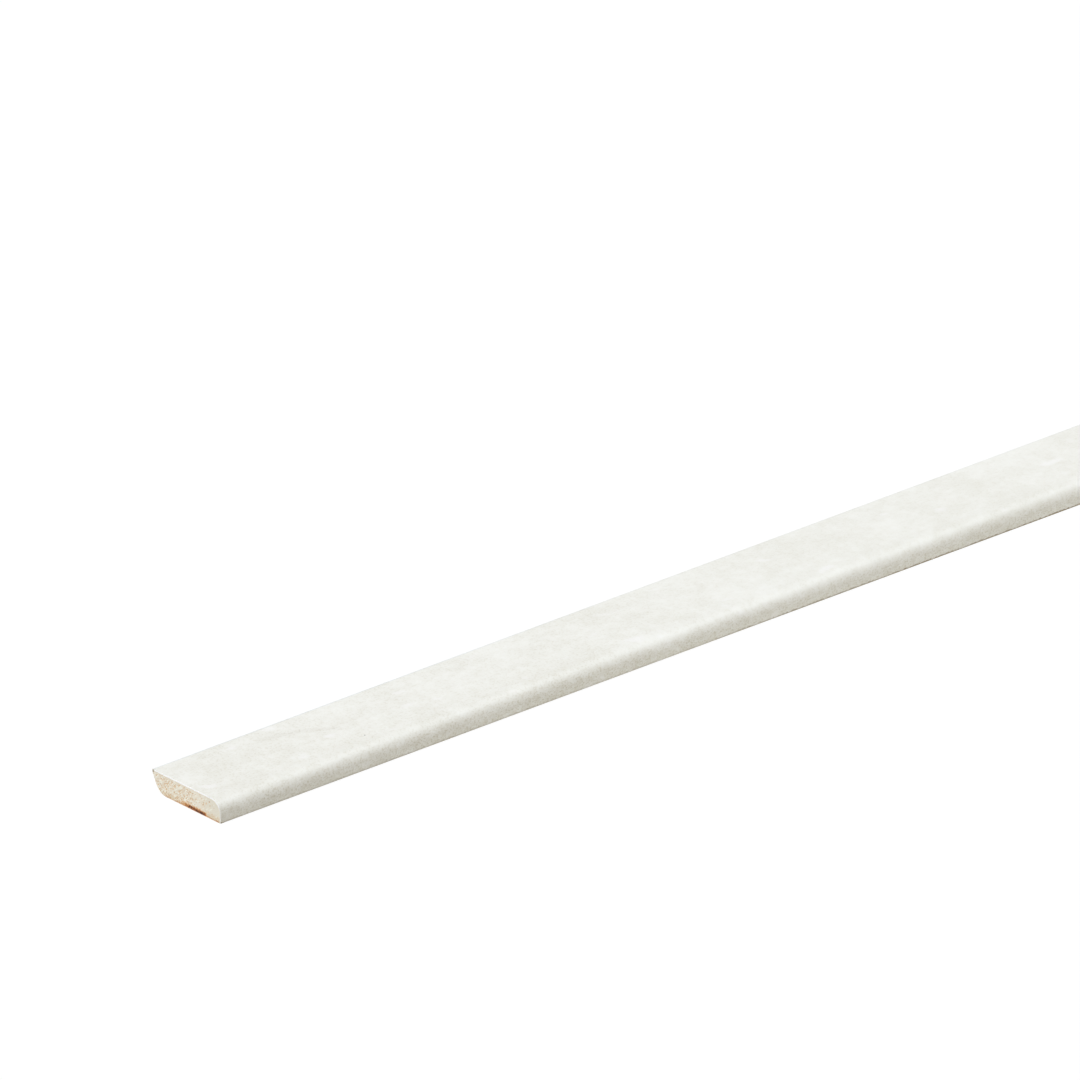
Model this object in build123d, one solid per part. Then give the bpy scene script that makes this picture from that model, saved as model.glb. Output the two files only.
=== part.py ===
from build123d import *
from math import radians, tan
import os

# Sizes of the stock, in millimetres and degrees
LENGTH = 2400.0  # one full length as it is sold
WIDTH = 22.0  # from the rounded long edge to the tip of the undercut
THICKNESS = 5.0  # from the glue face to the decor face, foil included
EDGE_ROUND = 3.0  # radius of the rounded long edge, over the foil
FOIL = 0.25  # thickness of the printed paper foil
FOIL_HEM = 0.05  # height at which the foil stops above the glue face
TIP_LAND = 0.4  # upright edge of the core at the tip, below the foil
UNDERCUT_LEAN = 26.5  # angle of the undercut from upright
HEEL_ROUND = 4.0  # radius where the undercut runs into the glue face


def rounded(section, corner, radius):
    """Rounds the corner of a section that lies at the given point."""
    return fillet(section.vertices().sort_by_distance(corner)[0], radius)


def wrapped_blank(inset, base):
    """Section inside the wrapped side, from the rounded edge to the tip and from the base up.

    The inset is measured inwards from the foil's outer surface.
    """
    side = -WIDTH / 2 + inset
    shoulder = (side, THICKNESS - inset)
    tip = (WIDTH / 2, THICKNESS - inset)
    blank = make_face(Polyline((side, base), shoulder, tip, (WIDTH / 2, base), close=True))
    return rounded(blank, shoulder, EDGE_ROUND - inset)


# The undercut's bevel runs from the foot of the tip's land and would meet the glue face at the heel
land_foot = (WIDTH / 2, THICKNESS - FOIL - TIP_LAND)
heel = (WIDTH / 2 - land_foot[1] * tan(radians(UNDERCUT_LEAN)), 0)
undercut_waste = make_face(Polyline(land_foot, heel, (WIDTH / 2, 0), close=True))

# Both sections lie on the YZ plane: the core, and the foil as the band round its wrapped side
core_section = rounded(wrapped_blank(FOIL, 0) - undercut_waste, heel, HEEL_ROUND)
foil_section = wrapped_blank(0, FOIL_HEM) - wrapped_blank(FOIL, 0)

core_strip = extrude(Plane.YZ * core_section, LENGTH / 2, both=True)
decor_foil = extrude(Plane.YZ * foil_section, LENGTH / 2, both=True)

os.makedirs("parts", exist_ok=True)
export_step(core_strip, "parts/core_strip.step")
export_step(decor_foil, "parts/decor_foil.step")
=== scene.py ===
"""A length of stick-on skirting: a fibreboard strip wrapped in a stone-look paper foil."""

import logging
import math
import random
from dataclasses import dataclass
from enum import Enum

import bpy
import numpy as np
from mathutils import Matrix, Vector
from mathutils.geometry import delaunay_2d_cdt


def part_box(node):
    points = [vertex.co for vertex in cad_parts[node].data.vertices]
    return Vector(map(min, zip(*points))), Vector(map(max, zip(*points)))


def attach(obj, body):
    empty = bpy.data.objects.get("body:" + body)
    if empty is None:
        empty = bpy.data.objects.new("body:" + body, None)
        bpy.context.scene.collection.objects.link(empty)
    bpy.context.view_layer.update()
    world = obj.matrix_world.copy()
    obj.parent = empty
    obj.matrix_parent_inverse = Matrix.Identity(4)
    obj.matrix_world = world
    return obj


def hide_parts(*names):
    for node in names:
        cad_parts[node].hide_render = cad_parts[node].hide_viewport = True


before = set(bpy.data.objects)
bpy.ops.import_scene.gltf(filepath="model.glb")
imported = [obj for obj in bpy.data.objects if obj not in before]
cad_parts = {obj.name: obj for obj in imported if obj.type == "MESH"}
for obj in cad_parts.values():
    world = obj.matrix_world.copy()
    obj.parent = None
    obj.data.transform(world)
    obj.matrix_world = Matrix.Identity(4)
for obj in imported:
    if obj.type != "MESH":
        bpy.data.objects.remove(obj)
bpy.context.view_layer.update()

LOG = logging.getLogger("skirting")

MM = 0.001  # in metres
BODY = "root"  # the one body, which every piece rides on
BAKE_MAP = "OFBake"  # the map that the finishes are baked on
PHOTO_SIZE = 1080  # in pixels, across and down
WHITE = (1.0, 1.0, 1.0, 1.0)
INSIDE_ONLY = 1  # keeps a triangulation inside its outline
QUAD = 4  # corners of a face along the strip

Point = tuple[float, float]
Rgb = tuple[int, int, int]
Socket = bpy.types.NodeSocket
Inputs = dict[int | str, object]


class End(Enum):
    """The two cut ends of the strip, by the way each one faces along X."""

    NEAR = -1
    FAR = 1


class Side(Enum):
    """The kinds of surface on a piece, in the order of its material slots."""

    MAIN = 0
    CUT = 1


class Mark(Enum):
    """What shows in the fibres of a sawn end, each kept on the mesh as a value from 0 to 1."""

    FLECK = "fleck"
    PIT = "pit"
    KNOT = "knot"
    BRUISE = "bruise"


def linear(colour: Rgb) -> tuple[float, float, float, float]:
    """Turns a colour of 0 to 255 per channel into Blender's linear colour.

    Args:
        colour: red, green and blue as they look on a screen.

    Returns:
        The linear colour with full alpha.
    """
    parts = []
    for part in colour:
        share = part / 255
        parts.append(share / 12.92 if share <= 0.04045 else ((share + 0.055) / 1.055) ** 2.4)
    return (*parts, 1.0)


class Graph:
    """A node tree, with short ways to add nodes and join them."""

    def __init__(self, tree: bpy.types.NodeTree) -> None:
        """Keeps the tree that the nodes go into."""
        self.tree = tree

    def feed(self, node: bpy.types.Node, inputs: Inputs) -> bpy.types.Node:
        """Sets a node's inputs.

        Args:
            node: the node.
            inputs: a value or another node's output for each named or numbered input.

        Returns:
            The same node.
        """
        for name, value in inputs.items():
            if isinstance(value, Socket):
                self.tree.links.new(value, node.inputs[name])
            else:
                node.inputs[name].default_value = value
        return node

    def node(self, kind: str, inputs: Inputs | None = None, **settings: object) -> bpy.types.Node:
        """Adds a node.

        Args:
            kind: the node's Blender type, without the leading ShaderNode.
            inputs: a value or another node's output for each named or numbered input.
            settings: the node's own properties.

        Returns:
            The new node.
        """
        made = self.tree.nodes.new("ShaderNode" + kind)
        for name, value in settings.items():
            setattr(made, name, value)
        return self.feed(made, inputs or {})

    def math(self, work: str, first: object, second: object = 0.0) -> Socket:
        """Adds a Math node.

        Args:
            work: the operation.
            first: the first number or output.
            second: the second number or output.

        Returns:
            The node's output.
        """
        return self.node("Math", {0: first, 1: second}, operation=work).outputs[0]

    def times(self, first: object, *others: object) -> Socket:
        """Multiplies numbers and outputs.

        Args:
            first: the first factor.
            others: the other factors.

        Returns:
            Their product.
        """
        product = first
        for other in others:
            product = self.math("MULTIPLY", product, other)
        return product

    def span(self, value: object, low: object, high: object, start: float = 0.0, stop: float = 1.0) -> Socket:
        """Stretches a value from low and high to start and stop, smoothly and held at both.

        Args:
            value: the value to stretch.
            low: where it begins.
            high: where it ends.
            start: the result at low.
            stop: the result at high.

        Returns:
            The stretched value.
        """
        inputs = {"Value": value, "From Min": low, "From Max": high, "To Min": start, "To Max": stop}
        return self.node("MapRange", inputs, interpolation_type="SMOOTHSTEP").outputs["Result"]

    def within(self, value: object, reach: float, core: float = 0.5) -> Socket:
        """Marks where a value, such as a distance, is small.

        Args:
            value: the value.
            reach: where the mark ends.
            core: the share of the reach up to which the mark is full.

        Returns:
            1 up to the core and 0 from the reach on.
        """
        return self.span(value, reach, reach * core)

    def blend(self, share: object, first: object, second: object) -> Socket:
        """Mixes two colours.

        Args:
            share: how much of the second shows.
            first: the colour at 0.
            second: the colour at 1.

        Returns:
            The mixed colour.
        """
        inputs = {0: share, 6: first, 7: second}
        return self.node("Mix", inputs, data_type="RGBA").outputs[2]

    def millimetres(self) -> Socket:
        """Gives the place on the piece in millimetres."""
        place = self.node("TexCoord").outputs["Object"]
        return self.node("VectorMath", {0: place, "Scale": 1 / MM}, operation="SCALE").outputs[0]

    def drawn_out(self, place: Socket, axis: str, angle: float, stretch: Vector) -> Socket:
        """Turns a place about an axis and then scales it, so that a pattern runs long one way.

        Args:
            place: the place on the piece.
            axis: the axis to turn about, X, Y or Z.
            angle: how far.
            stretch: the scale along each axis after the turn.

        Returns:
            The turned and scaled place.
        """
        turned = self.node("VectorRotate", {"Vector": place, "Angle": angle}, rotation_type=axis + "_AXIS")
        return self.node("VectorMath", {0: turned.outputs[0], 1: stretch}, operation="MULTIPLY").outputs[0]

    def effect(self, tree: bpy.types.NodeTree, **inputs: object) -> bpy.types.Node:
        """Places a shared effect.

        Args:
            tree: the effect's node group.
            inputs: its values here.

        Returns:
            The group's node.
        """
        made = self.node("Group")
        made.node_tree = tree
        return self.feed(made, inputs)

    def surface(self, shader: bpy.types.Node) -> None:
        """Joins a shader to the material's output."""
        output = self.node("OutputMaterial")
        self.tree.links.new(shader.outputs[0], output.inputs["Surface"])

    def painted(self, colour: Socket, roughness: float, specular: float = 0.5, **bump: object) -> None:
        """Ends a material in its shader.

        Args:
            colour: the base colour.
            roughness: how rough the surface is.
            specular: how strongly it glints.
            bump: the Height and Distance of its fine relief, where it has one.
        """
        inputs = {"Base Color": colour, "Roughness": roughness, "Specular IOR Level": specular}
        if bump:
            inputs["Normal"] = self.node("Bump", bump).outputs[0]
        self.surface(self.node("BsdfPrincipled", inputs))


def fresh_material(name: str) -> tuple[bpy.types.Material, Graph]:
    """Makes an empty material.

    Args:
        name: what to call it.

    Returns:
        The material and its graph.
    """
    material = bpy.data.materials.new(name)
    material.use_nodes = True
    material.node_tree.nodes.clear()
    return material, Graph(material.node_tree)


class Effects:
    """The patterns that more than one finish shares, each a node group built once."""

    cloud_span: Point = (0.25, 0.75)
    grain_detail: float = 1.5
    grain_evenness: float = 0.5
    grain_fade: float = 0.12
    creep_scale: float = 1.3
    creep_detail: float = 3.0
    creep_span: Point = (0.3, 0.7)
    creep_spread: Point = (0.55, 1.45)
    creep_core: float = 0.45

    def __init__(self) -> None:
        """Builds every group."""
        self.mottle = self._mottle()
        self.grains = self._grains()
        self.foot_band = self._foot_band()

    @staticmethod
    def _open(
        name: str, numbers: list[str], outputs: list[str]
    ) -> tuple[bpy.types.NodeTree, Graph, dict[str, Socket], bpy.types.Node]:
        """Starts a node group that reads a place and some numbers.

        Args:
            name: what to call it.
            numbers: the names of its number inputs.
            outputs: the names of its values.

        Returns:
            The group, its graph, its inputs by name and its output node.
        """
        tree = bpy.data.node_groups.new(name, "ShaderNodeTree")
        tree.interface.new_socket("Place", in_out="INPUT", socket_type="NodeSocketVector")
        for label in numbers:
            tree.interface.new_socket(label, in_out="INPUT", socket_type="NodeSocketFloat")
        for label in outputs:
            tree.interface.new_socket(label, in_out="OUTPUT", socket_type="NodeSocketFloat")
        start = tree.nodes.new("NodeGroupInput")
        stop = tree.nodes.new("NodeGroupOutput")
        return tree, Graph(tree), {s.name: s for s in start.outputs}, stop

    def _mottle(self) -> bpy.types.NodeTree:
        """Cloudy tone with blotches from the stated size down, from 0 to 1 about a half."""
        tree, graph, given, stop = self._open("cloudy_mottle", ["Size", "Detail", "Evenness"], ["Tone"])
        inputs = {
            "Vector": given["Place"],
            "Scale": graph.math("DIVIDE", 1.0, given["Size"]),
            "Detail": given["Detail"],
            "Roughness": given["Evenness"],
        }
        cloud = graph.node("TexNoise", inputs).outputs[0]
        graph.feed(stop, {"Tone": graph.span(cloud, *self.cloud_span)})
        return tree

    def _grains(self) -> bpy.types.NodeTree:
        """Scattered patches of the stated size, as a mask and as a height."""
        tree, graph, given, stop = self._open("scattered_grains", ["Size", "Sparseness"], ["Mask", "Height"])
        inputs = {
            "Vector": given["Place"],
            "Scale": graph.math("DIVIDE", 1.0, given["Size"]),
            "Detail": self.grain_detail,
            "Roughness": self.grain_evenness,
        }
        speck = graph.node("TexNoise", inputs).outputs[0]
        full = graph.math("ADD", given["Sparseness"], self.grain_fade)
        graph.feed(stop, {"Mask": graph.span(speck, given["Sparseness"], full), "Height": speck})
        return tree

    def _foot_band(self) -> bpy.types.NodeTree:
        """A ragged band that creeps up from a lower edge to about the stated reach."""
        tree, graph, given, stop = self._open("foot_band", ["Height", "Reach"], ["Mask"])
        inputs = {"Vector": given["Place"], "Scale": self.creep_scale, "Detail": self.creep_detail}
        creep = graph.node("TexNoise", inputs).outputs[0]
        top = graph.times(given["Reach"], graph.span(creep, *self.creep_span, *self.creep_spread))
        graph.feed(stop, {"Mask": graph.span(given["Height"], top, graph.times(top, self.creep_core))})
        return tree


@dataclass(frozen=True)
class Mottle:
    """One use of the cloudy mottle: its largest blotches in millimetres, its detail and its evenness."""

    size: float
    detail: float
    evenness: float

    def tone(self, graph: Graph, effects: Effects, place: Socket) -> Socket:
        """Places the mottle.

        Args:
            graph: the material's graph.
            effects: the shared patterns.
            place: the place on the piece.

        Returns:
            Its tone, from 0 to 1.
        """
        inputs = {"Place": place, "Size": self.size, "Detail": self.detail, "Evenness": self.evenness}
        return graph.effect(effects.mottle, **inputs).outputs["Tone"]


@dataclass(frozen=True)
class Grains:
    """One use of the scattered grains: their size in millimetres, how sparse and how strong they are."""

    size: float
    sparseness: float
    strength: float = 1.0

    def over(self, graph: Graph, effects: Effects, place: Socket) -> tuple[Socket, Socket]:
        """Places the grains.

        Args:
            graph: the material's graph.
            effects: the shared patterns.
            place: the place on the piece.

        Returns:
            How much they show, up to their strength, and their height.
        """
        made = graph.effect(effects.grains, Place=place, Size=self.size, Sparseness=self.sparseness)
        return graph.times(made.outputs["Mask"], self.strength), made.outputs["Height"]


@dataclass(frozen=True)
class Wisp:
    """A faint dark streak in the print, one to each repeat, in millimetres from the repeat's start."""

    start: float = 24.0
    stop: float = 46.0
    fade: float = 6.0
    crest: float = 27.6
    level: float = 6.3
    sag: float = 0.0255
    width: float = 1.6

    def mask(self, graph: Graph, along: Socket, across: Socket) -> Socket:
        """Draws the streak.

        Args:
            graph: the material's graph.
            along: the place along the repeat.
            across: the place across the strip.

        Returns:
            1 on the streak and 0 off it.
        """
        run = graph.math("SUBTRACT", along, self.crest)
        line = graph.math("SUBTRACT", self.level, graph.times(run, run, self.sag))
        away = graph.math("ABSOLUTE", graph.math("SUBTRACT", across, line))
        begin = graph.span(along, self.start, self.start + self.fade)
        finish = graph.span(along, self.stop, self.stop - self.fade)
        return graph.times(graph.within(away, self.width, core=0.0), begin, finish)


@dataclass(frozen=True)
class StonePrint:
    """The foil's printed side: pale cloudy stone with fine brown grain, chalky patches and a faint wisp.

    Places and sizes are in millimetres, apart from the relief.
    """

    # Colours
    shade: Rgb = (233, 233, 226)
    ground: Rgb = (245, 246, 242)
    chalk: Rgb = (251, 251, 252)
    grain: Rgb = (192, 183, 160)
    speck: Rgb = (201, 195, 178)
    dot: Rgb = (150, 146, 140)
    streak: Rgb = (176, 168, 152)
    hem_board_shaded: Rgb = (150, 136, 104)
    rim: Rgb = (206, 222, 236)
    # Clouds and grain, on the face and from the shoulder down
    clouds: Mottle = Mottle(size=40.0, detail=5.0, evenness=0.95)
    graining: Mottle = Mottle(size=1.3, detail=3.0, evenness=0.85)
    grain_strength: float = 0.08
    edge_grain_strength: float = 0.32
    shoulder: float = 0.6
    edge_lift: float = 0.36
    specks: Grains = Grains(size=0.55, sparseness=0.52)
    speck_strength: float = 0.2
    edge_speck_strength: float = 0.31
    gloom: Point = (0.35, 1.65)
    fine_stretch: Vector = Vector((1.0, 1.0, 1.5))
    # Chalky patches
    chalks: Grains = Grains(size=5.0, sparseness=0.63, strength=0.45)
    chalk_turn: float = math.radians(12)
    chalk_stretch: Vector = Vector((0.6, 1.0, 1.0))
    # What repeats along the print: a calmer stretch of grain, the wisp and the dot
    repeat: float = 640.0
    calm: float = 0.5
    calm_run: Point = (80.0, 190.0)
    calm_end: float = 110.0
    wisp: Wisp = Wisp()
    wisp_strength: Point = (0.1, 0.2)
    dot_at: Point = (44.8, -5.8)
    dot_radius: float = 0.24
    # Line along the hem: the board under the foil's edge, darkened with painted shade
    hem_reach: float = 0.36
    hem_patches: Mottle = Mottle(size=60.0, detail=2.0, evenness=0.6)
    hem_patchiness: Point = (0.75, 1.15)
    hem_run: Point = (115.0, 215.0)
    hem_strength: Point = (0.3, 1.0)
    hem_corner: float = 1.6
    # Cool line along the back edge, and painted shade at the foot and on the side by the near end
    rim_reach: float = 0.5
    rim_run: Point = (60.0, 150.0)
    rim_strength: Point = (0.32, 0.12)
    foot_painted_shade: float = 0.1
    foot_painted_shade_from: float = 1.2
    end_painted_shade: float = 0.15
    end_painted_shade_run: Point = (2.5, 7.0)
    # Surface
    roughness: float = 0.5
    relief: float = 0.004 * MM
    specular: float = 0.4

    def material(self, effects: Effects, section: "Section", length: float) -> bpy.types.Material:
        """Makes the print's material.

        Args:
            effects: the shared patterns.
            section: the strip's section.
            length: the strip's length.

        Returns:
            The material.
        """
        material, graph = fresh_material("stone_print")
        place = graph.millimetres()
        axes = graph.node("SeparateXYZ", {0: place}).outputs
        top, tip = section.thickness / MM, section.width / MM / 2
        side = graph.span(axes["Z"], top - self.shoulder, top - section.edge_round / MM)
        from_end = graph.math("ADD", axes["X"], length / MM / 2)
        along = graph.math("FLOORED_MODULO", from_end, self.repeat)
        shift = Vector((0.0, 0.0, top * (1 - self.fine_stretch.z)))
        fine = graph.node("VectorMath", {0: place, 1: self.fine_stretch, 2: shift}, operation="MULTIPLY_ADD")
        colour, grain, speck = self._stone(graph, effects, place, fine.outputs[0], side, along)
        colour = self._figured(graph, effects, place, colour, along, axes["Y"], speck)
        # Painted shade: the print darkens towards the floor, and on the side just past the near end
        foot_painted_shade = graph.span(axes["Z"], self.foot_painted_shade_from, 0.0, 0.0, self.foot_painted_shade)
        end_painted_shade = graph.times(side, graph.span(from_end, *self.end_painted_shade_run, self.end_painted_shade, 0.0))
        colour = graph.blend(graph.math("ADD", foot_painted_shade, end_painted_shade), colour, linear(self.grain))
        above_hem = graph.math("SUBTRACT", axes["Z"], section.hem / MM)
        # Painted line at the hem: the board under the foil, darkened as painted shade
        foot_line = self._hem_line(graph, effects, place, above_hem, from_end)
        colour = graph.blend(foot_line, colour, linear(self.hem_board_shaded))
        rim = graph.times(
            graph.span(axes["Y"], tip - self.rim_reach, tip),
            graph.span(from_end, *self.rim_run, *self.rim_strength),
        )
        colour = graph.blend(rim, colour, linear(self.rim))
        graph.painted(colour, self.roughness, self.specular, Height=grain, Distance=self.relief)
        return material

    def _stone(
        self,
        graph: Graph,
        effects: Effects,
        place: Socket,
        fine: Socket,
        side: Socket,
        along: Socket,
    ) -> tuple[Socket, Socket, Socket]:
        """Prints the cloudy stone and its grain, which gathers in the dark clouds and round the edge.

        Args:
            graph: the material's graph.
            effects: the shared patterns.
            place: the place on the piece.
            fine: the same place, drawn out for the grain round the edge.
            side: 0 on the face and 1 on the side.
            along: the place along the print's repeat, which has a calmer stretch.

        Returns:
            The colour, the grain's tone and the specks.
        """
        cloud = self.clouds.tone(graph, effects, place)
        colour = graph.blend(cloud, linear(self.shade), linear(self.ground))
        colour = graph.blend(graph.times(side, self.edge_lift), colour, linear(self.chalk))
        vigour = graph.math(
            "MAXIMUM",
            graph.span(along, *self.calm_run, 1.0, self.calm),
            graph.span(along, self.repeat - self.calm_end, self.repeat, self.calm, 1.0),
        )
        gloom = graph.times(vigour, graph.span(cloud, 1.0, 0.0, *self.gloom))
        grain = self.graining.tone(graph, effects, fine)
        speck, _ = self.specks.over(graph, effects, fine)
        dark = graph.math("SUBTRACT", 1.0, grain)
        layers = (
            (dark, self.grain, self.grain_strength, self.edge_grain_strength),
            (speck, self.speck, self.speck_strength, self.edge_speck_strength),
        )
        for mask, tint, on_face, on_edge in layers:
            strength = graph.math("ADD", graph.times(side, on_edge), graph.times(gloom, on_face))
            colour = graph.blend(graph.times(mask, strength), colour, linear(tint))
        return colour, grain, speck

    def _figured(
        self,
        graph: Graph,
        effects: Effects,
        place: Socket,
        colour: Socket,
        along: Socket,
        across: Socket,
        speck: Socket,
    ) -> Socket:
        """Prints the chalky patches, the wisp and the lone dot over the stone.

        Args:
            graph: the material's graph.
            effects: the shared patterns.
            place: the place on the piece.
            colour: the stone's colour.
            along: the place along the print's repeat.
            across: the place across the strip.
            speck: the specks, which darken the wisp.

        Returns:
            The colour with its figure.
        """
        drawn = graph.drawn_out(place, "Z", self.chalk_turn, self.chalk_stretch)
        chalk, _ = self.chalks.over(graph, effects, drawn)
        colour = graph.blend(chalk, colour, linear(self.chalk))
        wisp = self.wisp.mask(graph, along, across)
        share = graph.times(wisp, graph.span(speck, 0.0, 1.0, *self.wisp_strength))
        colour = graph.blend(share, colour, linear(self.streak))
        apart = [graph.math("SUBTRACT", part, spot) for part, spot in zip((along, across), self.dot_at)]
        away = graph.math("SQRT", graph.math("ADD", *[graph.times(part, part) for part in apart]))
        return graph.blend(graph.within(away, self.dot_radius), colour, linear(self.dot))

    def _hem_line(
        self, graph: Graph, effects: Effects, place: Socket, above_hem: Socket, from_end: Socket
    ) -> Socket:
        """Paints the board under the foil's hem as a dark line with painted shade, in patches, more so
        further along and at the near corner.

        Args:
            graph: the material's graph.
            effects: the shared patterns.
            place: the place on the piece.
            above_hem: the height above the foil's hem.
            from_end: the distance from the near end.

        Returns:
            How much of the line shows.
        """
        foot_line = graph.effect(effects.foot_band, Place=place, Height=above_hem, Reach=self.hem_reach)
        patch = self.hem_patches.tone(graph, effects, place)
        showing = graph.times(
            graph.span(from_end, *self.hem_run, *self.hem_strength),
            graph.span(patch, 0.0, 1.0, *self.hem_patchiness),
        )
        showing = graph.math("MAXIMUM", showing, graph.within(from_end, self.hem_corner))
        return graph.times(foot_line.outputs["Mask"], showing)


@dataclass(frozen=True)
class PaperEdge:
    """The foil's bare paper, which shows where the foil is cut."""

    white: Rgb = (245, 248, 255)
    painted_shade_grey: Rgb = (222, 222, 221)
    fibre: Rgb = (232, 232, 228)
    bruise: Rgb = (158, 143, 112)
    fibres: Grains = Grains(size=0.3, sparseness=0.55, strength=0.6)
    painted_shade_grey_run: Point = (4.4, 2.6)
    bruise_reach: float = 0.65
    bruise_core: float = 1 / 3
    roughness: float = 0.85

    def material(self, effects: Effects, section: "Section", length: float) -> bpy.types.Material:
        """Makes the paper's material.

        Args:
            effects: the shared patterns.
            section: the strip's section.
            length: the strip's length.

        Returns:
            The material.
        """
        material, graph = fresh_material("bare_paper")
        place = graph.millimetres()
        axes = graph.node("SeparateXYZ", {0: place}).outputs
        # Painted shade: the paper's white turns grey lower down the cut edge
        low = graph.span(axes["Z"], *self.painted_shade_grey_run)
        colour = graph.blend(low, linear(self.white), linear(self.painted_shade_grey))
        fibre, _ = self.fibres.over(graph, effects, place)
        colour = graph.blend(fibre, colour, linear(self.fibre))
        from_end = graph.math("ADD", axes["X"], length / MM / 2)
        from_tip = graph.math("SUBTRACT", section.width / MM / 2, axes["Y"])
        bruise = graph.times(
            graph.within(from_end, self.bruise_reach, self.bruise_core),
            graph.within(from_tip, self.bruise_reach, self.bruise_core),
        )
        colour = graph.blend(bruise, colour, linear(self.bruise))
        graph.painted(colour, self.roughness)
        return material


@dataclass(frozen=True)
class MilledBoard:
    """Fibreboard as the moulder leaves it: smooth and tan, with faint streaks along the strip."""

    pale: Rgb = (226, 212, 186)
    tan: Rgb = (206, 186, 153)
    speck: Rgb = (176, 146, 108)
    streaks: Mottle = Mottle(size=0.8, detail=5.0, evenness=0.7)
    streak_stretch: Vector = Vector((0.04, 1.0, 1.0))
    specks: Grains = Grains(size=0.35, sparseness=0.62, strength=0.6)
    roughness: float = 0.62
    relief: float = 0.01 * MM

    def material(self, effects: Effects) -> bpy.types.Material:
        """Makes the milled board's material.

        Args:
            effects: the shared patterns.

        Returns:
            The material.
        """
        material, graph = fresh_material("milled_fibreboard")
        place = graph.millimetres()
        drawn = graph.drawn_out(place, "X", 0.0, self.streak_stretch)
        streak = self.streaks.tone(graph, effects, drawn)
        colour = graph.blend(streak, linear(self.tan), linear(self.pale))
        speck, height = self.specks.over(graph, effects, place)
        colour = graph.blend(speck, colour, linear(self.speck))
        graph.painted(colour, self.roughness, Height=height, Distance=self.relief)
        return material


@dataclass(frozen=True)
class Burn:
    """One shade of the scorch: its colour, how far it reaches and the heat at which it starts and is full."""

    tint: Rgb
    reach: float
    heat: Point


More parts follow.
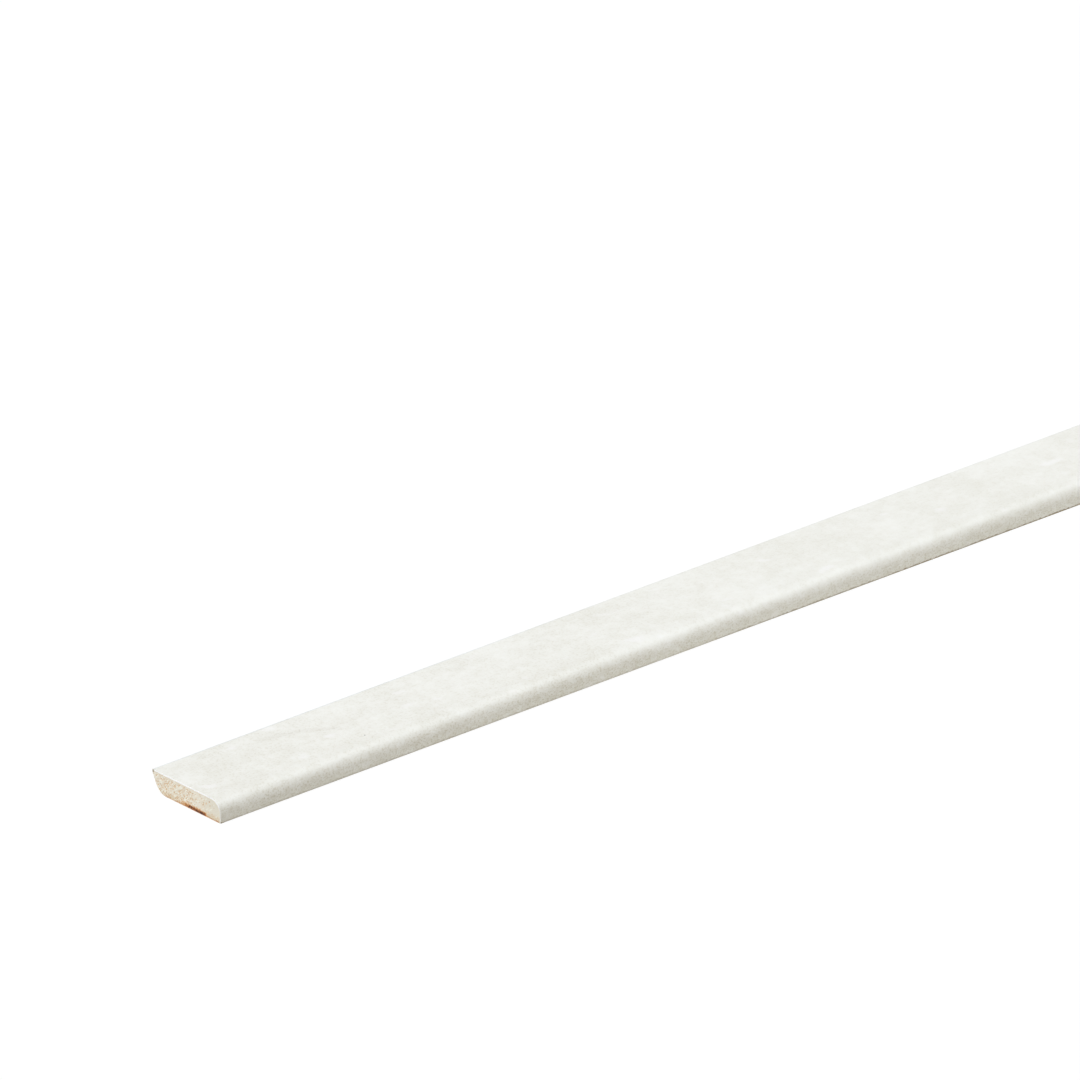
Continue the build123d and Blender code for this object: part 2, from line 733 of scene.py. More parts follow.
@dataclass(frozen=True)
class Scorch:
    """The burn that a hot blade left along the lower edge of the near end, in millimetres."""

    # Shades, each inside the one before
    singe: Burn = Burn((212, 166, 108), reach=0.95, heat=(0.04, 0.5))
    burn: Burn = Burn((170, 104, 56), reach=0.7, heat=(0.12, 0.85))
    char: Burn = Burn((58, 34, 28), reach=0.42, heat=(0.7, 1.0))
    core: float = 0.35
    # Where it lies on the cut
    start_run: Point = (-7.35, -5.6)
    stop_run: Point = (3.6, -2.0)
    start_ravel: float = 0.4
    stop_ravel: float = 1.5
    middle: float = 0.38
    lift: float = 0.22
    lift_run: Point = (-2.8, 1.0)
    taper: float = 0.38
    # How the fibres break it up
    fringe: Point = (0.7, 1.6)
    patchiness: float = 0.66
    patch_span: Point = (0.57, 0.44)
    stroke_gap: float = 0.6
    stroke_heat: Point = (1.0, 0.5)
    stroke_span: Point = (0.42, 0.58)
    # Dashes along the lower edge
    trail: Rgb = (172, 116, 74)
    trail_ends: Point = (-10.7, 3.8)
    trail_fade: float = 0.6
    trail_reach: float = 0.56
    trail_strength: float = 0.72
    trail_span: Point = (0.56, 0.42)
    # Fibres
    fibre_turn: float = math.radians(-50)
    fibre_stretch: Vector = Vector((1.0, 0.4, 1.3))
    fibre_scale: float = 3.0
    fibre_detail: float = 3.0
    fibre_evenness: float = 0.65
    fibre_span: Point = (0.3, 0.7)

    def over(self, graph: Graph, place: Socket, colour: Socket) -> Socket:
        """Lays the scorch over a colour.

        Args:
            graph: the material's graph.
            place: the place on the piece.
            colour: the colour so far.

        Returns:
            The colour with the scorch.
        """
        axes = graph.node("SeparateXYZ", {0: place}).outputs
        near = graph.math("LESS_THAN", axes["X"], 0.0)
        fibres = self._fibres(graph, place)
        rise = self._ravelled(graph, axes["Y"], fibres, self.start_ravel, self.start_run)
        fall = self._ravelled(graph, axes["Y"], fibres, self.stop_ravel, self.stop_run)
        heat = graph.times(rise, fall, near)
        lifted = graph.span(axes["Y"], *self.lift_run, self.middle, self.middle + self.lift)
        away = graph.math("ABSOLUTE", graph.math("SUBTRACT", axes["Z"], lifted))
        away = graph.times(away, graph.span(fibres, *self.fibre_span, *self.fringe))
        away = graph.math("ADD", away, graph.span(heat, 1.0, 0.0, 0.0, self.taper))
        colour = self._trail(graph, axes, near, fibres, colour)
        patches = graph.span(fibres, *self.patch_span, 1 - self.patchiness, 1.0)
        gaps = graph.times(graph.span(heat, *self.stroke_heat), self.stroke_gap)
        strokes = graph.math("SUBTRACT", 1.0, graph.times(gaps, graph.span(fibres, *self.stroke_span)))
        for shade, cover in ((self.singe, 1.0), (self.burn, strokes), (self.char, patches)):
            close = graph.within(away, shade.reach, self.core)
            share = graph.times(close, graph.span(heat, *shade.heat), cover)
            colour = graph.blend(share, colour, linear(shade.tint))
        return colour

    def _fibres(self, graph: Graph, place: Socket) -> Socket:
        """Gives the tone of the leaning fibres that the scorch follows."""
        inputs = {
            "Vector": graph.drawn_out(place, "X", self.fibre_turn, self.fibre_stretch),
            "Scale": self.fibre_scale,
            "Detail": self.fibre_detail,
            "Roughness": self.fibre_evenness,
        }
        return graph.node("TexNoise", inputs).outputs[0]

    def _ravelled(
        self, graph: Graph, across: Socket, fibres: Socket, ravel: float, run: Point
    ) -> Socket:
        """Starts or stops the scorch across the strip, raggedly.

        Args:
            graph: the material's graph.
            across: the place across the strip.
            fibres: the tone of the fibres.
            ravel: how far a fibre shifts the line.
            run: where the scorch is 0 and where it is 1.

        Returns:
            The scorch's strength, from 0 to 1.
        """
        shift = graph.span(fibres, *self.fibre_span, -ravel, ravel)
        return graph.span(graph.math("ADD", across, shift), *run)

    def _trail(
        self,
        graph: Graph,
        axes: bpy.types.NodeOutputs,
        near: Socket,
        fibres: Socket,
        colour: Socket,
    ) -> Socket:
        """Draws the brown dashes that run on along the lower edge, past both ends of the scorch.

        Args:
            graph: the material's graph.
            axes: the place along the three axes.
            near: 1 at the near end and 0 at the far one.
            fibres: the tone of the fibres.
            colour: the colour so far.

        Returns:
            The colour with the dashes.
        """
        right, left = self.trail_ends
        dashes = graph.times(
            near,
            graph.span(axes["Y"], right, right + self.trail_fade),
            graph.span(axes["Y"], left, left - self.trail_fade),
            graph.within(axes["Z"], self.trail_reach),
            graph.span(fibres, *self.trail_span, 0.0, self.trail_strength),
        )
        return graph.blend(dashes, colour, linear(self.trail))


@dataclass(frozen=True)
class SawnBoard:
    """Fibreboard across the cut: cream with pale flecks, tan pits and knots, and a stained lower edge.

    Places and sizes are in millimetres, apart from the relief.
    """

    cream: Rgb = (227, 224, 214)
    tan: Rgb = (221, 212, 197)
    smooth: Rgb = (218, 215, 204)
    dense: Rgb = (211, 199, 178)
    fleck: Rgb = (234, 235, 226)
    pit: Rgb = (202, 166, 122)
    knot: Rgb = (170, 122, 78)
    bruise: Rgb = (124, 110, 84)
    foot_line: Rgb = (184, 136, 92)
    clouds: Mottle = Mottle(size=1.6, detail=4.0, evenness=0.8)
    dense_heights: Point = (1.75, 0.5)
    dense_middle: float = -2.6
    dense_run: Point = (2.6, 5.0)
    smooth_run: Point = (-4.0, -8.5)
    grains: Grains = Grains(size=0.2, sparseness=0.55, strength=0.25)
    edge_line: float = 0.46
    edge_strength: float = 0.75
    speckle_span: Point = (0.45, 0.57)
    speckle: Point = (0.35, 1.0)
    roughness: float = 0.85
    relief: float = 0.03 * MM
    scorch: Scorch = Scorch()

    def material(self, effects: Effects) -> bpy.types.Material:
        """Makes the sawn board's material.

        Args:
            effects: the shared patterns.

        Returns:
            The material.
        """
        material, graph = fresh_material("sawn_fibreboard")
        place = graph.millimetres()
        axes = graph.node("SeparateXYZ", {0: place}).outputs
        cloud = self.clouds.tone(graph, effects, place)
        colour = graph.blend(cloud, linear(self.tan), linear(self.cream))
        quiet = graph.span(axes["Y"], *self.smooth_run)
        colour = graph.blend(quiet, colour, linear(self.smooth))
        off_middle = graph.math("ABSOLUTE", graph.math("SUBTRACT", axes["Y"], self.dense_middle))
        dense = graph.times(
            graph.span(axes["Z"], *self.dense_heights), graph.span(off_middle, *self.dense_run)
        )
        colour = graph.blend(dense, colour, linear(self.dense))
        grain, height = self.grains.over(graph, effects, place)
        colour = graph.blend(grain, colour, linear(self.pit))
        for mark, tint in zip(Mark, (self.fleck, self.pit, self.knot, self.bruise)):
            here = graph.node("Attribute", attribute_name=mark.value).outputs["Fac"]
            colour = graph.blend(here, colour, linear(tint))
        foot = graph.effect(effects.foot_band, Place=place, Height=axes["Z"], Reach=self.edge_line)
        speckled = graph.span(height, *self.speckle_span, *self.speckle)
        foot_share = graph.times(foot.outputs["Mask"], speckled, self.edge_strength)
        colour = graph.blend(foot_share, colour, linear(self.foot_line))
        colour = self.scorch.over(graph, place, colour)
        graph.painted(colour, self.roughness, Height=height, Distance=self.relief)
        return material


@dataclass(frozen=True)
class Section:
    """The strip's section, in metres: y runs from the rounded edge to the tip, z up from the glue face."""

    width: float
    thickness: float
    foil: float
    hem: float
    edge_round: float = 3.0 * MM
    tip_land: float = 0.4 * MM
    undercut_lean: float = math.radians(26.5)
    heel_round: float = 4.0 * MM
    round_steps: int = 18
    heel_steps: int = 12
    face_steps: int = 8
    upright_steps: int = 3
    back_steps: int = 8

    @classmethod
    def from_cad(cls) -> "Section":
        """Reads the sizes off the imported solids.

        Returns:
            The section.
        """
        foil_low, foil_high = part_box("decor_foil")
        core_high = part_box("core_strip")[1]
        return cls(
            width=foil_high.y - foil_low.y,
            thickness=foil_high.z,
            foil=foil_high.z - core_high.z,
            hem=foil_low.z,
        )

    @property
    def core_top(self) -> float:
        """Height of the core under the foil."""
        return self.thickness - self.foil

    @property
    def heel(self) -> float:
        """Place across the strip where the heel's round runs out into the glue face."""
        land_foot = self.core_top - self.tip_land
        corner = self.width / 2 - land_foot * math.tan(self.undercut_lean)
        return corner - self.heel_round * math.tan((math.pi / 2 - self.undercut_lean) / 2)

    def wrap(self, inset: float, foot: float) -> list[Point]:
        """Follows the wrapped side from its foot, over the rounded edge, to the tip.

        Args:
            inset: how far inside the foil's outer surface the line runs.
            foot: the height at which it starts.

        Returns:
            The line's points.
        """
        side = -self.width / 2 + inset
        radius = self.edge_round - inset
        centre_y = -self.width / 2 + self.edge_round
        centre_z = self.thickness - self.edge_round
        points = []
        for step in range(self.upright_steps):
            points.append((side, foot + (centre_z - foot) * step / self.upright_steps))
        for step in range(self.round_steps + 1):
            turn = math.pi - step / self.round_steps * math.pi / 2
            points.append((centre_y + radius * math.cos(turn), centre_z + radius * math.sin(turn)))
        for step in range(1, self.face_steps + 1):
            run = (self.width / 2 - centre_y) * step / self.face_steps
            points.append((centre_y + run, self.thickness - inset))
        return points

    def undercut(self) -> list[Point]:
        """Follows the undercut from the foot of the tip's land round the heel to the glue face.

        Returns:
            The line's points.
        """
        points = [(self.width / 2, self.core_top - self.tip_land)]
        for step in range(self.heel_steps + 1):
            turn = self.undercut_lean + (math.pi / 2 - self.undercut_lean) * step / self.heel_steps
            points.append(
                (
                    self.heel + self.heel_round * math.cos(turn),
                    self.heel_round * (1 - math.sin(turn)),
                )
            )
        return points

    def back(self) -> list[Point]:
        """Follows the glue face from the heel almost to the foot of the rounded edge.

        Returns:
            The line's points, without the heel and the foot.
        """
        run = -self.width / 2 + self.foil - self.heel
        return [(self.heel + run * step / self.back_steps, 0.0) for step in range(1, self.back_steps)]


@dataclass(frozen=True)
class BakeSheet:
    """Lays a long strip out on a square map: its length in stacked rows, its two ends above them."""

    rows: int = 9
    stations_per_row: int = 12
    rows_top: float = 0.86
    margin: float = 0.003
    ends_low: float = 0.87
    ends_high: float = 0.995

    @property
    def stations(self) -> int:
        """Counts the steps along the whole strip."""
        return self.rows * self.stations_per_row

    def on_row(self, step: int, edge: int, girth: float) -> Point:
        """Places a corner of a long face.

        Args:
            step: the face's step along the strip.
            edge: 0 for its near edge and 1 for its far one.
            girth: how far round the section the corner is, from 0 to 1.

        Returns:
            The corner's place on the map.
        """
        row, spot = divmod(step, self.stations_per_row)
        run = (spot + edge) / self.stations_per_row
        pitch = self.rows_top / self.rows
        return (
            self.margin + (1 - 2 * self.margin) * run,
            row * pitch + self.margin + (pitch - 2 * self.margin) * girth,
        )

    def on_end(self, end: End, across: float, height: float) -> Point:
        """Places a corner of a cut end.

        Args:
            end: which end.
            across: how far across the strip the corner is, from 0 to 1.
            height: how far up the strip's thickness it is, from 0 to 1.

        Returns:
            The corner's place on the map.
        """
        left = self.margin if end is End.NEAR else 0.5 + self.margin
        return (
            left + (0.5 - 2 * self.margin) * across,
            self.ends_low + (self.ends_high - self.ends_low) * height,
        )


class Sweep:
    """A closed section drawn along the strip, gathered as plain lists until it becomes a mesh."""

    def __init__(self, outline: list[Point], weights: list[float], length: float, sheet: BakeSheet) -> None:
        """Sets out the section at every station.

        Args:
            outline: the section's points, in order round it.
            weights: how much of the map each side from one point to the next takes, for its length.
            length: the strip's length.
            sheet: the map's layout.
        """
        self.outline, self.sheet = outline, sheet
        self.places: list[tuple[float, float, float]] = []
        self.faces: list[tuple[int, ...]] = []
        self.sides: list[int] = []
        self.spots: list[list[Point]] = []
        self.count = len(outline)
        for step in range(sheet.stations + 1):
            x = -length / 2 + length * step / sheet.stations
            self.places += [(x, y, z) for y, z in outline]
        girths = [0.0]
        for i in range(self.count):
            (y0, z0), (y1, z1) = outline[i], outline[(i + 1) % self.count]
            girths.append(girths[-1] + math.hypot(y1 - y0, z1 - z0) * weights[i])
        self.girths = [g / girths[-1] for g in girths]

    def long_faces(self, cut_sides: set[int]) -> None:
        """Adds the faces along the strip.

        Args:
            cut_sides: the section's sides that take the second material.
        """
        for step in range(self.sheet.stations):
            for i in range(self.count):
                j = (i + 1) % self.count
                here, there = step * self.count, (step + 1) * self.count
                self.faces.append((here + i, there + i, there + j, here + j))
                self.sides.append((Side.CUT if i in cut_sides else Side.MAIN).value)
                low, high = self.girths[i], self.girths[i + 1]
                self.spots.append(
                    [
                        self.sheet.on_row(step, 0, low),
                        self.sheet.on_row(step, 1, low),
                        self.sheet.on_row(step, 1, high),
                        self.sheet.on_row(step, 0, high),
                    ]
                )

    def first_at(self, end: End) -> int:
        """Gives the index of the section's first point at an end."""
        return 0 if end is End.NEAR else self.sheet.stations * self.count

    def end_face(self, end: End, corners: tuple[int, ...]) -> None:
        """Adds one face of a cut end, turned outwards.

        Args:
            end: which end.
            corners: its points, anticlockwise as seen from the far end.
        """
        if end is End.NEAR:
            corners = tuple(reversed(corners))
        self.faces.append(corners)
        self.sides.append(Side.CUT.value)
        ys = [p[0] for p in self.outline]
        top = max(p[1] for p in self.outline)
        low, wide = min(ys), max(ys) - min(ys)
        self.spots.append(
            [
                self.sheet.on_end(end, (self.places[c][1] - low) / wide, self.places[c][2] / top)
                for c in corners
            ]
        )

    def piece(self, name: str, sharp_from: float) -> bpy.types.Object:
        """Makes the mesh and its object.

        Args:
            name: what to call them.
            sharp_from: the angle from which an edge along the strip or round an end looks sharp.

        Returns:
            The object, in the scene.
        """
        mesh = bpy.data.meshes.new(name)
        mesh.from_pydata(self.places, [], self.faces)
        mesh.polygons.foreach_set("material_index", self.sides)
        mesh.polygons.foreach_set("use_smooth", [True] * len(self.faces))
        layer = mesh.uv_layers.new(name=BAKE_MAP)
        flat = [part for face in self.spots for spot in face for part in spot]
        layer.uv.foreach_set("vector", flat)
        mesh.set_sharp_from_angle(angle=sharp_from)
        self._soften_ends(mesh)
        mesh.validate()
        piece = bpy.data.objects.new(name, mesh)
        bpy.context.scene.collection.objects.link(piece)
        return piece

    def _soften_ends(self, mesh: bpy.types.Mesh) -> None:
        """Keeps the edges inside a cut end smooth, however deep its pits are."""
        long_corners = QUAD * self.sheet.stations * self.count
        edges = np.empty(len(mesh.loops), dtype=np.int32)
        mesh.loops.foreach_get("edge_index", edges)
        inside = np.bincount(edges[long_corners:], minlength=len(mesh.edges)) == 2
        sharp = np.empty(len(mesh.edges), dtype=bool)
        mesh.attributes["sharp_edge"].data.foreach_get("value", sharp)
        mesh.attributes["sharp_edge"].data.foreach_set("value", sharp & ~inside)


@dataclass(frozen=True)
class Strewn:
    """One kind of mark, strewn over a cut end: about as long and as wide as stated, and leaning."""

    spacing: float
    long: float
    wide: float
    lean: float = math.radians(140)
    lean_spread: float = math.radians(14)
    size_spread: float = 0.4
    soft: float = 0.45
    faintest: float = 0.45

    def over(self, spots: np.ndarray, openness: np.ndarray, draw: np.random.Generator) -> np.ndarray:
        """Strews the marks and reads how strong they are.

        Args:
            spots: the points to read at.
            openness: how open the board is at each of them; dense board takes fewer marks.
            draw: the source of chance.

        Returns:
            The strength at each point, from 0 to 1.
        """
        count = int(np.prod(np.ptp(spots, axis=0)) / self.spacing**2)
        centres = draw.integers(0, len(spots), count)
        chances = draw.random(count)
        leans = self.lean + self.lean_spread * draw.standard_normal(count)
        sizes = draw.uniform(1 - self.size_spread, 1 + self.size_spread, count)
        vigours = draw.uniform(self.faintest, 1.0, count)
        strength = np.zeros(len(spots))
        for centre, chance, lean, size, vigour in zip(centres, chances, leans, sizes, vigours):
            if chance > openness[centre]:
                continue
            away = (spots - spots[centre]) / (size / 2)
            along = away @ (math.cos(lean), math.sin(lean)) / self.long
            aside = away @ (-math.sin(lean), math.cos(lean)) / self.wide
            inside = np.clip((1 + self.soft - np.hypot(along, aside)) / (2 * self.soft), 0, 1)
            strength = np.maximum(strength, vigour * inside * inside * (3 - 2 * inside))
        return strength


@dataclass(frozen=True)
class FibreField:
    """Where a sawn end has pits between its fibres, knots, pale flecks and, at the near tip, a bruise."""

    pits: Strewn = Strewn(spacing=0.43 * MM, long=0.36 * MM, wide=0.18 * MM)
    knots: Strewn = Strewn(spacing=2.4 * MM, long=0.36 * MM, wide=0.22 * MM)
    flecks: Strewn = Strewn(spacing=0.58 * MM, long=0.8 * MM, wide=0.2 * MM)
    skin: float = 0.7 * MM
    shut_skin: float = 0.21 * MM
    smooth_end: float = -8.5 * MM
    smooth_blend: float = 13.0 * MM
    smooth_share: float = 0.1
    bruise_reach: float = 0.65 * MM
    bruise_core: float = 1 / 3
    seed: int = 51

    @staticmethod
    def _step(value: np.ndarray, low: float, high: float) -> np.ndarray:
        """Rises smoothly from 0 at low to 1 at high."""
        share = np.clip((value - low) / (high - low), 0, 1)
        return share * share * (3 - 2 * share)

    def openness(self, spots: np.ndarray, section: Section) -> np.ndarray:
        """Says how open the board is: dense by its faces and by the rounded edge.

        Args:
            spots: the points to read at.
            section: the strip's section.

        Returns:
            0 where it is dense, 1 where it is open.
        """
        across, height = spots.T
        depth = np.minimum(height, section.core_top - height)
        inside = self._step(depth, self.shut_skin, self.skin)
        ripe = self._step(across, self.smooth_end, self.smooth_end + self.smooth_blend)
        return inside * (self.smooth_share + (1 - self.smooth_share) * ripe)

    def read(self, spots: np.ndarray, section: Section, end: End) -> dict[Mark, np.ndarray]:
        """Reads every kind of mark.

        Args:
            spots: the points to read at.
            section: the strip's section.
            end: which end, so that the two differ.

        Returns:
            How strong each kind is at each point, from 0 to 1.
        """
        draw = np.random.default_rng(self.seed + end.value)
        openness = self.openness(spots, section)
        pit = self.pits.over(spots, openness, draw)
        knot = self.knots.over(spots, openness, draw)
        fleck = self.flecks.over(spots, openness, draw)
        tip = np.array([section.width / 2, section.core_top])
        away = np.linalg.norm(spots - tip, axis=1)
        bruise = self._step(away, self.bruise_reach, self.bruise_reach * self.bruise_core)
        if end is End.FAR:
            bruise = np.zeros(len(spots))
        return {Mark.FLECK: fleck * (1 - pit), Mark.PIT: pit, Mark.KNOT: knot, Mark.BRUISE: bruise}


@dataclass
class CoreStrip:
    """The fibreboard core: milled all round, sawn across at both ends."""

    section: Section
    length: float
    sawn: bpy.types.Material
    milled: bpy.types.Material
    sheet: BakeSheet
    fibres: FibreField = FibreField()
    name: str = "core_strip_dressed"
    hidden_weight: float = 0.04
    point_gap: float = 0.095 * MM
    rim_gap: float = 0.05 * MM
    point_stray: float = 0.2
    weld: float = 0.00001
    pit_depth: float = 0.07 * MM
    sharp_from: float = math.radians(20)
    seed: int = 22

    def build(self) -> bpy.types.Object:
        """Makes the core.

        Returns:
            The core's object.
        """
        wrap = self.section.wrap(self.section.foil, foot=0.0)
        bare = self.section.undercut() + self.section.back()
        weights = [self.hidden_weight] * (len(wrap) - 1) + [1.0] * (len(bare) + 1)
        sweep = Sweep(wrap + bare, weights, self.length, self.sheet)
        sweep.long_faces(cut_sides=set())
        marks = {mark: np.zeros(len(sweep.places)) for mark in Mark}
        for end in End:
            first = sweep.first_at(end)
            for mark, strength in self._sawn_end(sweep, end).items():
                marks[mark][first : first + sweep.count] = strength[: sweep.count]
                marks[mark] = np.append(marks[mark], strength[sweep.count :])
        piece = sweep.piece(self.name, self.sharp_from)
        for mark, strength in marks.items():
            values = piece.data.attributes.new(mark.value, "FLOAT", "POINT")
            values.data.foreach_set("value", strength)
        return piece

    def _sawn_end(self, sweep: Sweep, end: End) -> dict[Mark, np.ndarray]:
        """Closes one end with a fine skin that sinks at the pits.

        Args:
            sweep: the core so far.
            end: which end.

        Returns:
            The marks at the section's own points and then at each new point.
        """
        rim = np.array(sweep.outline)
        spots = np.vstack([rim, self._scattered(rim, end)])
        marks = self.fibres.read(spots, self.section, end)
        depths = self.pit_depth * np.maximum(marks[Mark.PIT], marks[Mark.KNOT])
        points, outline = [Vector(p) for p in spots / MM], list(range(len(rim)))
        found = delaunay_2d_cdt(points, [], [outline], INSIDE_ONLY, self.weld, True)
        faces, origins = found[2], found[3]
        first_rim, first_new = sweep.first_at(end), len(sweep.places)
        for (y, z), depth in list(zip(spots, depths))[len(rim) :]:
            sweep.places.append((end.value * (self.length / 2 - depth), y, z))
        for face in faces:
            corners = [origins[v][0] for v in face]
            shifts = [first_rim if c < len(rim) else first_new - len(rim) for c in corners]
            sweep.end_face(end, tuple(c + shift for c, shift in zip(corners, shifts)))
        return marks

    def _scattered(self, rim: np.ndarray, end: End) -> np.ndarray:
        """Scatters points evenly inside the section.

        Args:
            rim: the section's outline.
            end: which end, so that the two differ.

        Returns:
            The points, one row each.
        """
        draw = random.Random(self.seed + end.value)
        low, high = rim.min(axis=0), rim.max(axis=0)
        spots = []
        row_gap = self.point_gap * math.sqrt(3) / 2
        for row in range(int((high[1] - low[1]) / row_gap)):
            for column in range(int((high[0] - low[0]) / self.point_gap)):
                across = column + (row % 2) / 2 + draw.uniform(-self.point_stray, self.point_stray)
                up = row + 0.5 + draw.uniform(-self.point_stray, self.point_stray)
                spots.append((low[0] + self.point_gap * across, low[1] + row_gap * up))
        spots = np.array(spots)
        ahead = np.roll(rim, -1, axis=0) - rim
        inward = np.stack([ahead[:, 1], -ahead[:, 0]], axis=1)
        inward /= np.linalg.norm(inward, axis=1)[:, None]
        gaps = np.stack([(spots - rim[i]) @ inward[i] for i in range(len(rim))], axis=1)
        return spots[gaps.min(axis=1) > self.rim_gap]

    def dress(self, piece: bpy.types.Object) -> None:
        """Gives the core its finishes and its place in the frame."""
        piece.data.materials.append(self.milled)
        piece.data.materials.append(self.sawn)
        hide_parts("core_strip")
        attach(piece, BODY)


@dataclass
class DecorFoil:
    """The printed paper foil: one thin skin over the face and round the edge."""

    section: Section
    length: float
    print_side: bpy.types.Material
    paper: bpy.types.Material
    sheet: BakeSheet
    name: str = "decor_foil_dressed"
    edge_weight: float = 1.5
    hidden_weight: float = 0.05
    sharp_from: float = math.radians(20)

    def build(self) -> bpy.types.Object:
        """Makes the foil.

        Returns:
            The foil's object.
        """
        outer = self.section.wrap(0.0, self.section.hem)
        inner = self.section.wrap(self.section.foil, self.section.hem)
        outline = outer + inner[::-1]
        runs = len(outer) - 1
        weights = [1.0] * runs + [self.edge_weight] + [self.hidden_weight] * runs + [self.edge_weight]
        sweep = Sweep(outline, weights, self.length, self.sheet)
        sweep.long_faces(cut_sides=set(range(runs, len(outline))))
        for end in End:
            first = sweep.first_at(end)
            for i in range(runs):
                j = len(outline) - 1 - i
                sweep.end_face(end, (first + i, first + j, first + j - 1, first + i + 1))
        return sweep.piece(self.name, self.sharp_from)

    def dress(self, piece: bpy.types.Object) -> None:
        """Gives the foil its finishes and its place in the frame."""
        piece.data.materials.append(self.print_side)
        piece.data.materials.append(self.paper)
        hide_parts("decor_foil")
        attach(piece, BODY)


@dataclass(frozen=True)
class Lamp:
    """A distant light: its strength, how wide it looks, which way it shines and whether it only glints."""

    name: str
    strength: float
    width: float
    way: Vector
    tint: tuple[float, float, float] = (1.0, 1.0, 1.0)
    glint_only: bool = False

    def hang(self) -> None:
        """Puts the light in the scene."""
        data = bpy.data.lights.new(self.name, "SUN")
        data.energy, data.angle, data.color = self.strength, self.width, self.tint
        lamp = bpy.data.objects.new(self.name, data)
        lamp.visible_diffuse = not self.glint_only
        lamp.rotation_mode = "QUATERNION"
        lamp.rotation_quaternion = self.way.to_track_quat("-Z", "Y")
        bpy.context.scene.collection.objects.link(lamp)


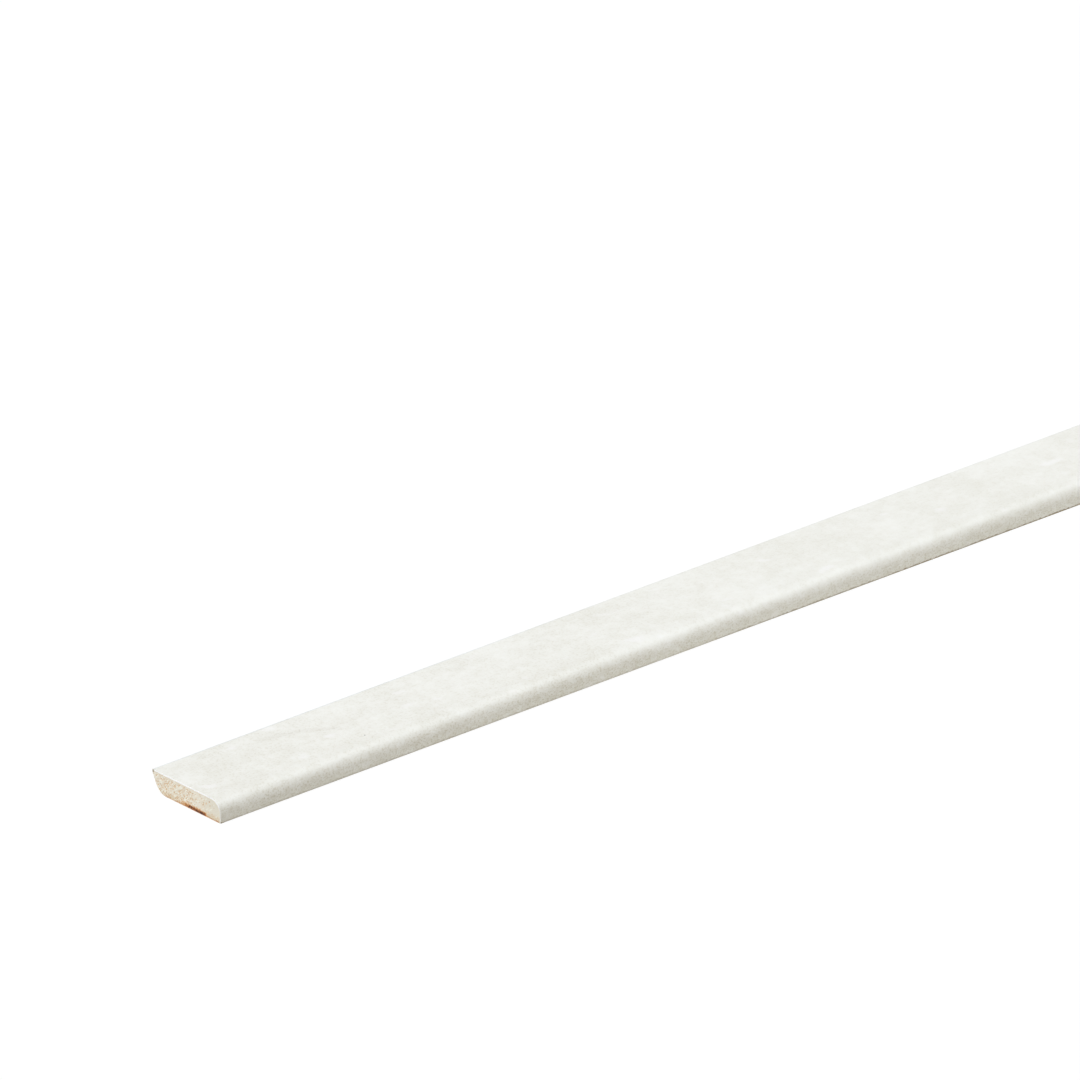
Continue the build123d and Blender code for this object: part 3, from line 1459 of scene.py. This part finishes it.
@dataclass
class Studio:
    """A white floor, soft light and a camera that sees along the strip from its near end."""

    # Floor
    floor_size: float = 14.0
    floor_drop: float = 0.02 * MM
    bounce_near: tuple[float, float, float, float] = (0.69, 0.665, 0.58, 1.0)
    bounce_far: tuple[float, float, float, float] = (0.83, 0.805, 0.71, 1.0)
    bounce_run: float = 130.0
    floor_glow: float = 1.02
    shadow_share: float = 0.18
    # Light
    sky: float = 0.4
    window: Lamp = Lamp("window", strength=2.378, width=math.radians(35), way=Vector((0.46, 0.035, -0.6)))
    sheen: Lamp = Lamp(
        "sheen",
        strength=2.0,
        width=math.radians(30),
        way=Vector((-0.59, 0.24, -0.77)),
        tint=(0.84, 0.91, 1.0),
        glint_only=True,
    )
    # Camera
    azimuth: float = math.radians(-40.9)
    elevation: float = math.radians(25.385)
    frame_width: float = 228.37 * MM
    anchor_across: float = 152.52 / PHOTO_SIZE
    anchor_down: float = 768.86 / PHOTO_SIZE
    camera_distance: float = 1.5

    def light(self) -> None:
        """Sets the sky and the two lamps."""
        scene = bpy.context.scene
        scene.view_settings.view_transform = "Standard"
        world = bpy.data.worlds.new("white_room")
        scene.world = world
        world.use_nodes = True
        world.node_tree.nodes.clear()
        graph = Graph(world.node_tree)
        dim = graph.node("Background", {"Color": WHITE, "Strength": self.sky})
        white = graph.node("Background", {"Color": WHITE, "Strength": 1.0})
        mix = graph.node("MixShader", {0: self._seen(graph), 1: dim.outputs[0], 2: white.outputs[0]})
        output = graph.node("OutputWorld")
        world.node_tree.links.new(mix.outputs[0], output.inputs["Surface"])
        self.window.hang()
        self.sheen.hang()

    @staticmethod
    def _seen(graph: Graph) -> Socket:
        """Marks the rays that see the background, straight or in a reflection."""
        path = graph.node("LightPath")
        seen = graph.math("MAXIMUM", path.outputs["Is Camera Ray"], path.outputs["Is Glossy Ray"])
        return graph.math("MAXIMUM", seen, path.outputs["Is Transmission Ray"])

    def floor(self, near_end: float) -> bpy.types.Object:
        """Lays the white floor, which keeps a faint shadow and throws less light back by the near end.

        Args:
            near_end: where the strip's near end is along X.

        Returns:
            The floor.
        """
        half = self.floor_size / 2
        mesh = bpy.data.meshes.new("floor")
        corners = [(-half, -half, 0), (half, -half, 0), (half, half, 0), (-half, half, 0)]
        mesh.from_pydata(corners, [], [(0, 1, 2, 3)])
        material, graph = fresh_material("white_floor")
        glow = graph.node("Emission", {"Color": WHITE, "Strength": self.floor_glow})
        shadowed = graph.node("BsdfDiffuse", {"Color": WHITE})
        shown = graph.node("MixShader", {0: self.shadow_share, 1: glow.outputs[0], 2: shadowed.outputs[0]})
        along = graph.node("SeparateXYZ", {0: graph.millimetres()}).outputs["X"]
        further = graph.span(along, near_end / MM, near_end / MM + self.bounce_run)
        bounce = graph.blend(further, self.bounce_near, self.bounce_far)
        bounced = graph.node("BsdfDiffuse", {"Color": bounce})
        looks = {0: self._seen(graph), 1: bounced.outputs[0], 2: shown.outputs[0]}
        graph.surface(graph.node("MixShader", looks))
        mesh.materials.append(material)
        floor = bpy.data.objects.new("floor", mesh)
        floor.location.z = -self.floor_drop
        bpy.context.scene.collection.objects.link(floor)
        return floor

    def camera(self, tip: Vector) -> bpy.types.Object:
        """Sets the camera so that the near end's tip falls where the picture shows it.

        Args:
            tip: the upper corner of the tip at the near end.

        Returns:
            The camera.
        """
        data = bpy.data.cameras.new("camera")
        data.type = "ORTHO"
        data.ortho_scale = self.frame_width
        camera = bpy.data.objects.new("camera", data)
        a, e = self.azimuth, self.elevation
        back = Vector((math.sin(a) * math.cos(e), -math.cos(a) * math.cos(e), math.sin(e)))
        right = Vector((math.cos(a), math.sin(a), 0.0))
        up = back.cross(right)
        aim = tip + right * (0.5 - self.anchor_across) * self.frame_width
        aim += up * (self.anchor_down - 0.5) * self.frame_width
        camera.rotation_mode = "QUATERNION"
        camera.rotation_quaternion = (-back).to_track_quat("-Z", "Y")
        camera.location = aim + back * self.camera_distance
        bpy.context.scene.collection.objects.link(camera)
        bpy.context.scene.camera = camera
        return camera


def main() -> None:
    """Builds the strip and the studio round it."""
    logging.basicConfig(level=logging.INFO, format="%(name)s: %(message)s")
    section = Section.from_cad()
    core_low, core_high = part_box("core_strip")
    length = core_high.x - core_low.x
    effects = Effects()
    sheet = BakeSheet()
    core = CoreStrip(
        section,
        length,
        sawn=SawnBoard().material(effects),
        milled=MilledBoard().material(effects),
        sheet=sheet,
    )
    foil = DecorFoil(
        section,
        length,
        print_side=StonePrint().material(effects, section, length),
        paper=PaperEdge().material(effects, section, length),
        sheet=sheet,
    )
    for part in (core, foil):
        piece = part.build()
        part.dress(piece)
        LOG.info("%s: %d faces", piece.name, len(piece.data.polygons))
    studio = Studio()
    studio.light()
    studio.floor(core_low.x)
    studio.camera(Vector((core_low.x, section.width / 2, section.thickness)))


if __name__ == "__main__":
    main()
